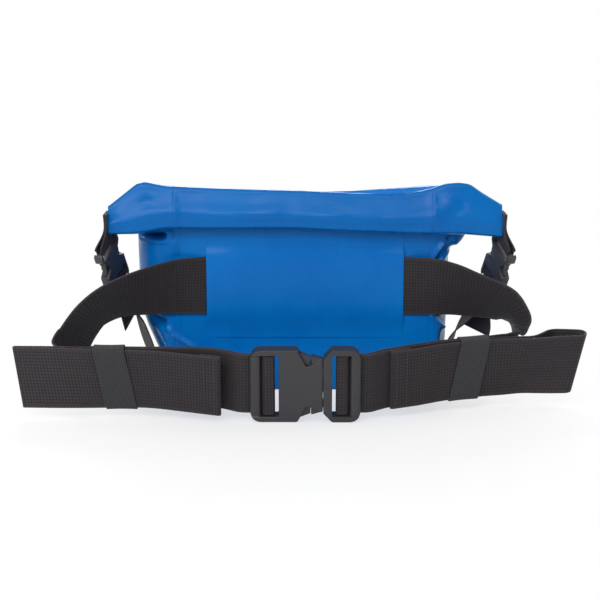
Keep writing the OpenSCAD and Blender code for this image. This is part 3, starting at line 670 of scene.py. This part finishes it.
def strap(name, centres, across, width, thickness, square=True):
    """A woven strap along a line of centres. Its map runs along the strap and out from its middle."""
    centres, across = np.array(centres, float), np.array(across, float)
    along = np.gradient(centres, axis=0)
    along /= np.linalg.norm(along, axis=1)[:, None]
    if square:
        across = across - along * np.sum(along * across, axis=1)[:, None]
    across /= np.linalg.norm(across, axis=1)[:, None]
    run = np.concatenate([[0], np.cumsum(np.linalg.norm(np.diff(centres, axis=0), axis=1))])
    places = np.concatenate([[-0.5, -0.485], np.linspace(-0.46, 0.46, 9), [0.485, 0.5]]) * width
    points = centres[:, None] + across[:, None] * places[None, :, None]
    uv = np.stack(np.broadcast_arrays(run[:, None], places[None, :]), axis=2)
    piece = lay_sheet(name, points, uv=uv)
    finish_with(
        piece, ("SOLIDIFY", {"thickness": thickness * MM, "offset": 0}),
        ("BEVEL", {"width": 0.3 * thickness * MM, "segments": 2, "angle_limit": math.radians(60)}), smooth=50,
    )
    return piece


def weave_group():
    """Square basket weave: height of the crossing yarns, and a mask of the yarns' crowns."""
    group, given, result = shader_group(
        "basket_weave", [("Map", "NodeSocketVector", None), ("Pitch", "NodeSocketFloat", 0.0026)],
        [("Height", "NodeSocketFloat"), ("Crown", "NodeSocketFloat"), ("Off Middle", "NodeSocketFloat")],
    )
    split = group.nodes.new("ShaderNodeSeparateXYZ")
    group.links.new(given.outputs["Map"], split.inputs[0])
    waves_of = []
    for axis in ("X", "Y"):
        turn = math_node(group, "DIVIDE", split.outputs[axis], given.outputs["Pitch"])
        swing = math_node(group, "SINE", math_node(group, "MULTIPLY", turn, math.pi))
        waves_of.append(math_node(group, "POWER", math_node(group, "ABSOLUTE", swing), 0.6))
    crown = math_node(group, "MULTIPLY", waves_of[0], waves_of[1])
    fibre = noise_node(group, given.outputs["Map"], 2600, 2)
    group.links.new(math_node(group, "MULTIPLY_ADD", fibre, 0.25, crown), result.inputs["Height"])
    group.links.new(crown, result.inputs["Crown"])
    group.links.new(math_node(group, "ABSOLUTE", split.outputs["Y"]), result.inputs["Off Middle"])
    return group


basket = weave_group()


def webbing_material(name, width, dark, light, pitch):
    """Woven nylon: painted shade between the yarns, a painted sheen on their crowns that varies in patches, and a
    painted highlight along the two woven edges.
    """
    material, nodes, links = new_material(name)
    tree = material.node_tree
    shader = nodes["Principled BSDF"]
    uv = nodes.new("ShaderNodeTexCoord").outputs["UV"]
    weave = nodes.new("ShaderNodeGroup")
    weave.node_tree = basket
    weave.inputs["Pitch"].default_value = pitch
    links.new(uv, weave.inputs["Map"])
    # Painted sheen and shade: the crowns are painted lighter than the gaps between the yarns, in patches that also
    # stand for wear.
    wear_and_sheen = noise_node(tree, uv, 90, 3, 0.6)
    crown_sheen = math_node(tree, "MULTIPLY", weave.outputs["Crown"], math_node(tree, "MULTIPLY_ADD", wear_and_sheen, 0.7, 0.45))
    colour = mix_colours(tree, crown_sheen, dark, light)
    # Painted highlight: the colour is lighter along both woven edges.
    edge = nodes.new("ShaderNodeMapRange")
    edge.interpolation_type = "SMOOTHSTEP"
    edge.inputs["From Min"].default_value = (width / 2 - 2.4) * MM
    edge.inputs["From Max"].default_value = (width / 2 - 1.2) * MM
    links.new(weave.outputs["Off Middle"], edge.inputs["Value"])
    rim = math_node(tree, "MULTIPLY", edge.outputs["Result"], 0.5)
    colour = mix_colours(tree, rim, colour, [1.25 * c for c in light[:3]] + [1])
    links.new(colour, shader.inputs["Base Color"])
    rough = math_node(tree, "MULTIPLY_ADD", weave.outputs["Crown"], -0.16, 0.78)
    links.new(rough, shader.inputs["Roughness"])
    shader.inputs["Specular IOR Level"].default_value = 0.25
    shader.inputs["Sheen Weight"].default_value = 0.05
    shader.inputs["Sheen Roughness"].default_value = 0.45
    bump = nodes.new("ShaderNodeBump")
    bump.inputs["Strength"].default_value = 0.45
    bump.inputs["Distance"].default_value = 0.0005
    links.new(weave.outputs["Height"], bump.inputs["Height"])
    links.new(bump.outputs["Normal"], shader.inputs["Normal"])
    return material


belt_webbing = webbing_material("belt_webbing", BELT_W, linear(30, 26, 29), linear(52, 47, 51), 0.0026)

ROUND_BAR = [(25.2, 3.1, 1.44), (25.2, -3.1, 1.44), (33.7, -3.1, 1.28), (33.7, 1.2, 1.28)]
LEFT_PLAN = [
    (168, 20.2, 0), (75, 18.6, 60), (50, 3.1, 25), *ROUND_BAR, (52.5, 1.2, 20), (76, 15.9, 60), (233, 18.4, 1.25),
    (233, 15.3, 1.25), (125, 11.5, 120), (69, -6, 1.2), (68.1, -3.2, 1.2), (84.4, 1.9, 0),
]
RIGHT_PLAN = [
    (150, 44.8, 0), (114, 36.2, 100), (88, 25.6, 100), (63, 13.5, 40), (50, 3.1, 15), *ROUND_BAR, (51.5, 1.2, 12),
    (65.5, 11.2, 40), (90, 23, 100), (115, 33.4, 100), (150, 42.2, 100), (184, 47, 15), (199, 64, 12), (229, 60, 6.5),
    (227, 46, 6.5), (185, 42.6, 60), (150, 37.6, 100), (115, 27.8, 100), (92, 16.5, 60), (70, 8.3, 1.2),
    (69, 11, 1.2), (85, 17, 0),
]
LEFT_LEAD = [
    ((-84, -43.1, 93), (0, 0, 1)), ((-105, -48.5, 93.5), (-0.03, -0.18, 0.98)),
    ((-128, -57, 92), (-0.05, -0.42, 0.9)), ((-149, -65, 89), (-0.1, -0.62, 0.78)),
    ((-166, -70, 83), (-0.18, -0.72, 0.67)), ((-178, -74, 75), (-0.28, -0.79, 0.54)),
    ((-187, -76, 64), (-0.39, -0.81, 0.42)), ((-194, -80, 52), (-0.45, -0.82, 0.33)),
    ((-198, -90, 41), (-0.36, -0.74, 0.56)), ((-194, -103, 34), (-0.18, -0.48, 0.86)),
    ((-183, -112, 32), (-0.05, -0.22, 0.97)),
]
RIGHT_LEAD = [
    ((84, -43.1, 93), (0, 0, 1)), ((108, -47, 93), (-0.02, -0.12, 0.99)), ((126, -52, 91.5), (0, -0.33, 0.94)),
    ((142, -57, 88), (0.06, -0.52, 0.85)), ((158, -60, 84), (0.13, -0.65, 0.74)),
    ((168, -61, 79), (0.2, -0.71, 0.67)), ((175, -62, 72), (0.21, -0.8, 0.56)),
    ((179, -62, 64), (0.13, -0.87, 0.47)), ((179, -63, 54), (0, -0.9, 0.42)),
    ((175, -69, 45), (-0.05, -0.72, 0.68)), ((165, -79, 38), (-0.03, -0.4, 0.9)),
]

# Each folded end: how far it is skewed, where the skew starts and is full, and its lean in degrees.
BELT_ENDS = {-1: (0.19, 100, 165, 20), 1: (0.28, 150, 195, 18)}


def front_width(side, x):
    """Width direction of the belt's front: it is skewed and leans back towards the folded end."""
    skew, start, full, lean = BELT_ENDS[side]
    back = math.radians(lean) * ease(x, start + 25, 233)
    return front_vector((side * skew * ease(x, start, full), math.sin(back), math.cos(back)))


def front_run(plan, side):
    """Centres and width directions of one half of the belt's front."""
    flat = filled(rounded(plan), 2.4)
    return [front_point(side * x, y, BELT_MID) for x, y in flat], [front_width(side, x) for x, y in flat]


def lead_run(stations, plan, side):
    end = front_point(side * plan[0][0], plan[0][1], BELT_MID)
    centres = through([s[0] for s in stations] + [end], 8)
    widths = through([s[1] for s in stations] + [front_width(side, plan[0][0])], 8)
    return centres, widths


centre = [(x, -43.1, 93) for x in np.linspace(-84, 84, 60)]
belt_middle = strap("belt_middle", centre, [(0, 0, 1)] * 60, BELT_W, BELT_T)
left_lead = strap("left_lead", *lead_run(LEFT_LEAD, LEFT_PLAN, -1), BELT_W, BELT_T)
left_run = strap("left_run", *front_run(LEFT_PLAN, -1), BELT_W, BELT_T, square=False)
right_run = strap("right_run", *front_run(RIGHT_PLAN, 1), BELT_W, BELT_T, square=False)
right_lead = strap("right_lead", *lead_run(RIGHT_LEAD, RIGHT_PLAN, 1), BELT_W, BELT_T)
for piece, node, body in (
    (belt_middle, "belt_centre", "bag"), (left_lead, "left_belt_lead", "bag"), (left_run, "left_belt_run", "bag"),
    (right_run, "right_belt_run", "waist_male"),
):
    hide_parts(node)
    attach(piece, body)
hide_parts("right_belt_lead")
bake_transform(right_lead)
for piece in (belt_middle, left_lead, left_run, right_run, right_lead):
    piece.data.materials.append(belt_webbing)


def stitches(name, rows, length, pitch, radius):
    """Rows of thread stitches. Each row is a start, an end and the way the cloth faces."""
    bpy.ops.object.select_all(action="DESELECT")
    bpy.ops.mesh.primitive_uv_sphere_add(segments=8, ring_count=6, radius=1)
    pattern = bpy.context.object
    shape = np.array([v.co for v in pattern.data.vertices])
    faces = [list(p.vertices) for p in pattern.data.polygons]
    bpy.data.objects.remove(pattern, do_unlink=True)
    points, polygons = [], []
    for start, end, face in rows:
        start, end, face = (np.array(v, float) for v in (start, end, face))
        run = np.linalg.norm(end - start)
        way = (end - start) / run
        face = face / np.linalg.norm(face)
        side = np.cross(face, way)
        count = int(run / pitch)
        for k in range(count):
            middle = start + way * pitch * (k + 0.5 + (run / pitch - count) / 2) + face * radius * 0.35
            first = len(points)
            bow = (1 - shape[:, 2] ** 2)[:, None] * face * radius * 0.4
            points += list(
                middle + shape[:, 2:3] * way * length / 2 + shape[:, 0:1] * side * radius
                + shape[:, 1:2] * face * radius * 0.8 + bow
            )
            polygons += [[first + i for i in f] for f in faces]
    mesh = bpy.data.meshes.new(name)
    mesh.from_pydata((np.array(points) * MM).tolist(), [], polygons)
    piece = bpy.data.objects.new(name, mesh)
    scene.collection.objects.link(piece)
    return finish_with(piece, smooth=80)


thread_material, nodes, links = new_material("black_thread")
shader = nodes["Principled BSDF"]
place = nodes.new("ShaderNodeTexCoord").outputs["Object"]
twist = noise_node(thread_material.node_tree, place, 2200, 2)
links.new(mix_colours(thread_material.node_tree, twist, linear(34, 31, 36), linear(70, 66, 71)),
          shader.inputs["Base Color"])
shader.inputs["Roughness"].default_value = 0.6


def hem_rows(plan, side, places):
    """Two rows of stitches up the strap's width on the folded hem."""
    a, b = np.array(plan[-4][:2], float), np.array(plan[-3][:2], float)
    rows = []
    for x in places:
        t = (x - b[0]) / (a[0] - b[0])
        y = b[1] + (a[1] - b[1]) * t
        slope = np.array([b[0] - a[0], b[1] - a[1]]) / np.linalg.norm(b - a)
        normal = np.array([-slope[1], slope[0]])
        rim = np.array([x, y]) + normal * BELT_T / 2
        rows.append((
            front_point(side * rim[0], rim[1], BELT_MID - 23), front_point(side * rim[0], rim[1], BELT_MID + 23),
            front_vector((side * normal[0], normal[1], 0)),
        ))
    return rows


left_hem = stitches("left_hem_stitches", hem_rows(LEFT_PLAN, -1, (72.5, 81)), 2.4, 3.1, 0.42)
right_hem = stitches("right_hem_stitches", hem_rows(RIGHT_PLAN, 1, (73.5, 82)), 2.4, 3.1, 0.42)
for piece, body in ((left_hem, "bag"), (right_hem, "waist_male")):
    piece.data.materials.append(thread_material)
    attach(piece, body)


# The keepers: short loops of knitted elastic that hold the tails flat on the belt. Each is sewn into a ring, sits a
# little askew and slides along the webbing.
KEEPER_W = 25
KEEPER_T = 1.2
KEEPER_SKEW = 0.187


def keeper_ring(name, at, angle, half, side):
    turn = math.radians(angle)
    deep, tall, r = half + 0.6, BELT_W / 2 + 0.9, 2.4
    corners = [(deep, 0, 0), (deep, tall, r), (-deep, tall, r), (-deep, -tall, r), (deep, -tall, r), (deep, 0, 0)]
    loop = filled(rounded(corners, 6), 2)
    across = np.linspace(-KEEPER_W / 2, KEEPER_W / 2, 17)
    points = np.zeros((len(across), len(loop), 3))
    uv = np.zeros((len(across), len(loop), 2))
    run = np.concatenate([[0], np.cumsum(np.linalg.norm(np.diff(loop, axis=0), axis=1))])
    for i, w in enumerate(across):
        pinch = 1 - 0.012 * (1 - (2 * w / KEEPER_W) ** 2)
        for j, (y, z) in enumerate(loop):
            x = w + side * KEEPER_SKEW * z
            spot = (
                at[0] + x * math.cos(turn) - y * pinch * math.sin(turn),
                at[1] + x * math.sin(turn) + y * pinch * math.cos(turn), BELT_MID + z * pinch,
            )
            points[i, j] = front_point(*spot)
            uv[i, j] = (run[j], w)
    ring = lay_sheet(name, points, uv=uv, closed=True)
    turn_outwards(ring)
    return finish_with(
        ring, ("SOLIDIFY", {"thickness": KEEPER_T * MM, "offset": 0}),
        ("BEVEL", {"width": 0.35 * MM, "segments": 2, "angle_limit": math.radians(60)}), smooth=50,
    )


elastic_material, nodes, links = new_material("knit_elastic")
tree = elastic_material.node_tree
shader = nodes["Principled BSDF"]
uv = nodes.new("ShaderNodeTexCoord").outputs["UV"]
split = nodes.new("ShaderNodeSeparateXYZ")
links.new(uv, split.inputs[0])
# Painted sheen and shade on the knit: the colour is lighter on the crests of the ribs and loops and darker between
# them, in fuzzy patches.
rib = math_node(tree, "ABSOLUTE", math_node(tree, "SINE", math_node(tree, "MULTIPLY", split.outputs["Y"], 1700)))
loops = math_node(tree, "SINE", math_node(tree, "MULTIPLY", split.outputs["X"], 5200))
knit = math_node(tree, "MULTIPLY_ADD", loops, 0.18, rib)
fuzz_and_sheen = noise_node(tree, uv, 900, 3, 0.6)
rib_sheen = math_node(tree, "MULTIPLY", knit, math_node(tree, "MULTIPLY_ADD", fuzz_and_sheen, 0.8, 0.3))
links.new(mix_colours(tree, rib_sheen, linear(25, 24, 28), linear(51, 51, 57)), shader.inputs["Base Color"])
shader.inputs["Roughness"].default_value = 0.85
shader.inputs["Sheen Weight"].default_value = 0.1
shader.inputs["Sheen Roughness"].default_value = 0.5
bump = nodes.new("ShaderNodeBump")
bump.inputs["Strength"].default_value = 0.6
bump.inputs["Distance"].default_value = 0.0004
links.new(knit, bump.inputs["Height"])
links.new(bump.outputs["Normal"], shader.inputs["Normal"])
for side, name, at, angle, half in (
    (-1, "left_keeper", (-154, 16.3), 0, 5.6), (1, "right_keeper", (134, 37.1), 14.3, 5.4),
):
    ring = keeper_ring(name + "_ring", at, angle, half, side)
    ring.data.materials.append(elastic_material)
    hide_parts(name)
    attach(ring, name)


# The buckles: side-release buckles moulded in one shot each, dark grey acetal with a fine matt grain. The fork half
# clicks into the box half, and the two springy arms show in the notches at the sides.
def moulded_material(name, dark, light, grain):
    material, nodes, links = new_material(name)
    tree = material.node_tree
    shader = nodes["Principled BSDF"]
    place = nodes.new("ShaderNodeTexCoord").outputs["Object"]
    cloud = noise_node(tree, place, 130, 3, 0.6)
    links.new(mix_colours(tree, cloud, dark, light), shader.inputs["Base Color"])
    fine = noise_node(tree, place, grain, 2, 0.6)
    links.new(math_node(tree, "MULTIPLY_ADD", cloud, 0.16, 0.36), shader.inputs["Roughness"])
    shader.inputs["Specular IOR Level"].default_value = 0.45
    bump = nodes.new("ShaderNodeBump")
    bump.inputs["Strength"].default_value = 0.25
    bump.inputs["Distance"].default_value = 0.0002
    links.new(fine, bump.inputs["Height"])
    links.new(bump.outputs["Normal"], shader.inputs["Normal"])
    return material


BOX_GRAIN = 0.44


def softened_copy(node, name, width):
    """A copy of a moulded piece with its edges rounded over as they leave the mould."""
    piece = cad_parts[node].copy()
    piece.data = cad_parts[node].data.copy()
    piece.name = piece.data.name = name
    piece.parent = None
    scene.collection.objects.link(piece)
    bpy.ops.object.select_all(action="DESELECT")
    piece.select_set(True)
    bpy.context.view_layer.objects.active = piece
    bpy.ops.object.mode_set(mode="EDIT")
    bpy.ops.mesh.select_all(action="SELECT")
    bpy.ops.mesh.remove_doubles(threshold=1e-6)
    bpy.ops.mesh.dissolve_limited(angle_limit=math.radians(1))
    bpy.ops.object.mode_set(mode="OBJECT")
    if node == "waist_female":
        return finish_with(
            piece, ("REMESH", {"mode": "VOXEL", "voxel_size": BOX_GRAIN * MM}),
            ("SMOOTH", {"factor": 0.5, "iterations": 9}), smooth=60,
        )
    return finish_with(
        piece, ("BEVEL", {
            "width": width * MM, "segments": 3, "limit_method": "ANGLE", "angle_limit": math.radians(35),
        }), ("WEIGHTED_NORMAL", {"keep_sharp": True}), smooth=35,
    )


waist_plastic = moulded_material("waist_plastic", linear(38, 37, 41), linear(47, 46, 50), 3200)
closure_plastic = moulded_material("closure_plastic", linear(50, 49, 53), linear(62, 61, 65), 3600)
MOULDED = [
    ("waist_female", "bag"), ("waist_male", "waist_male"), ("waist_upper_arm", "waist_upper_arm"),
    ("waist_lower_arm", "waist_lower_arm"), ("left_closure_male", "bag"), ("right_closure_male", "bag"),
    ("left_closure_female", "left_closure_female"), ("right_closure_female", "right_closure_female"),
    ("left_closure_near_arm", "left_closure_near_arm"), ("left_closure_far_arm", "left_closure_far_arm"),
    ("right_closure_near_arm", "right_closure_near_arm"), ("right_closure_far_arm", "right_closure_far_arm"),
]
for node, body in MOULDED:
    waist = node.startswith("waist")
    piece = softened_copy(node, node + "_moulding", 1.1 if waist else 0.5)
    piece.data.materials.clear()
    piece.data.materials.append(waist_plastic if waist else closure_plastic)
    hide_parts(node)
    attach(piece, body)


# The closures: 25 mm webbing. A short tab loops each fork half to the end of the roll, and a strap from the side of
# the bag is wound through the box half, with its tail left hanging.
CLOSURE_W = 25
CLOSURE_T = 1.2
LAY = 0.3
CLOSURE_SCALE = 35 / 61
EYE = np.array([168, ROLL_Y, 129.5])
EYE_MID = 30.9
BAR_OUT = 44.5
CLOSURE_TURNS = ((2, 16), (1, 11), (0, 27))


def spun(v, axis, angle):
    c, s = math.cos(math.radians(angle)), math.sin(math.radians(angle))
    i, j = [(1, 2), (2, 0), (0, 1)][axis]
    w = np.array(v, float)
    w[i], w[j] = c * v[i] - s * v[j], s * v[i] + c * v[j]
    return w


def closure_way(side, v):
    w = np.array([-v[1], -v[2], v[0]] if side > 0 else [v[1], v[2], v[0]], float)
    for axis, angle in CLOSURE_TURNS:
        w = spun(w, axis, angle if axis == 0 else side * angle)
    return w


def closure_point(side, x, y, z=0):
    return EYE * np.array([side, 1, 1]) + closure_way(side, (x, y, z))


def closure_across(side):
    return -side * closure_way(side, (0, 0, 1))


narrow_webbing = webbing_material("narrow_webbing", CLOSURE_W, linear(26, 24, 28), linear(48, 45, 50), 0.0021)


def tab_run(side):
    r = 2.5 * CLOSURE_SCALE + LAY + CLOSURE_T / 2
    inner = side * (ROLL_HALF + LAY + CLOSURE_T / 2)
    outer = inner + side * (CLOSURE_T + LAY)
    level, across = np.array([0, 1.0, 0]), closure_across(side)
    centres, widths = [], []
    for x, y in ((inner, r), (outer, -r)):
        leg = [np.array([x, ROLL_Y, ROLL_Z + 6]), np.array([x, ROLL_Y, ROLL_Z - 8]), closure_point(side, 6, y),
               closure_point(side, 3, y), closure_point(side, 0, y)]
        wide = [level, level, across, across, across]
        line, ways = through(leg, 6), through(wide, 6)
        if y < 0:
            line, ways = line[::-1], ways[::-1]
        else:
            line, ways = line[:-1], ways[:-1]
            arc = [closure_point(side, -r * math.sin(a), r * math.cos(a)) for a in np.radians(np.arange(0, 180, 15))]
            line, ways = np.concatenate([line, arc]), np.concatenate([ways, [across] * len(arc)])
        centres += list(line)
        widths += list(ways)
    return centres, widths


TAIL = {-1: 72, 1: 90}


def strap_wrap(side):
    """The tail and its turn round the box half's bar."""
    k, t, l = CLOSURE_SCALE, CLOSURE_T / CLOSURE_SCALE, LAY / CLOSURE_SCALE
    tail = 0.1 + l + t / 2
    stand = tail + t + l
    near, far, front = 26.3 - l - t / 2, 32.6 + l + t / 2, -2 - l - t / 2
    wrap = rounded([
        (BAR_OUT + TAIL[side], tail - 3.7, 0), (BAR_OUT + 12, tail, 40), (far, tail, 0.8 * t), (far, front, 0.8 * t),
        (near, front, 0.9 * t), (near, stand, 0.9 * t), (BAR_OUT + 6, stand, 0),
    ])
    wrap = filled(wrap, 2)
    leave = closure_point(side, -k * (BAR_OUT + 10 + EYE_MID), k * (stand + 1))
    return [closure_point(side, -k * (x + EYE_MID), k * y) for x, y in wrap], leave


STRAP_DOWN = {
    -1: [((-150, -31, 76), (0.1, 0.95, 0.2)), ((-144, -29, 64), (-0.3, 0.95, 0.05)),
         ((-138.5, -27, 46), (-0.42, 0.9, 0)), ((-134, -26, 32), (-0.42, 0.9, 0)), ((-130, -25, 22), (-0.42, 0.9, 0))],
    1: [((149, -29, 73), (-0.1, 0.95, 0.2)), ((138, -27, 60), (0.05, 0.97, 0.1)), ((128.5, -27, 46), (0.32, 0.95, 0)),
        ((125, -26, 33), (0.32, 0.95, 0)), ((123.5, -26, 21), (0.32, 0.95, 0))],
}
for side, name in ((-1, "left"), (1, "right")):
    tab = strap(name + "_tab_loop", *tab_run(side), CLOSURE_W, CLOSURE_T, square=False)
    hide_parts(name + "_tab")
    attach(tab, "bag")
    wrap, leave = strap_wrap(side)
    across = closure_across(side)
    run_in = np.concatenate([[0], np.cumsum(np.linalg.norm(np.diff(np.array(wrap), axis=0), axis=1))])
    turn = 0.5 * (1 - ease(run_in, 0, 40)) * (side > 0)
    twist = [across + t * (np.array((0.95, 0.2, 0.1)) * np.sign(across[0]) - across) for t in turn]
    tail = strap(name + "_closure_tail", wrap, twist, CLOSURE_W, CLOSURE_T)
    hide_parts(name + "_closure_strap")
    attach(tail, name + "_closure_female")
    stations = [(wrap[-1], across), (leave, across)] + STRAP_DOWN[side]
    run = strap(
        name + "_closure_run", through([s[0] for s in stations], 8), through([s[1] for s in stations], 8), CLOSURE_W,
        CLOSURE_T,
    )
    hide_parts(name + "_closure_strap")
    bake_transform(run)
    for piece in (tab, tail, run):
        piece.data.materials.append(narrow_webbing)
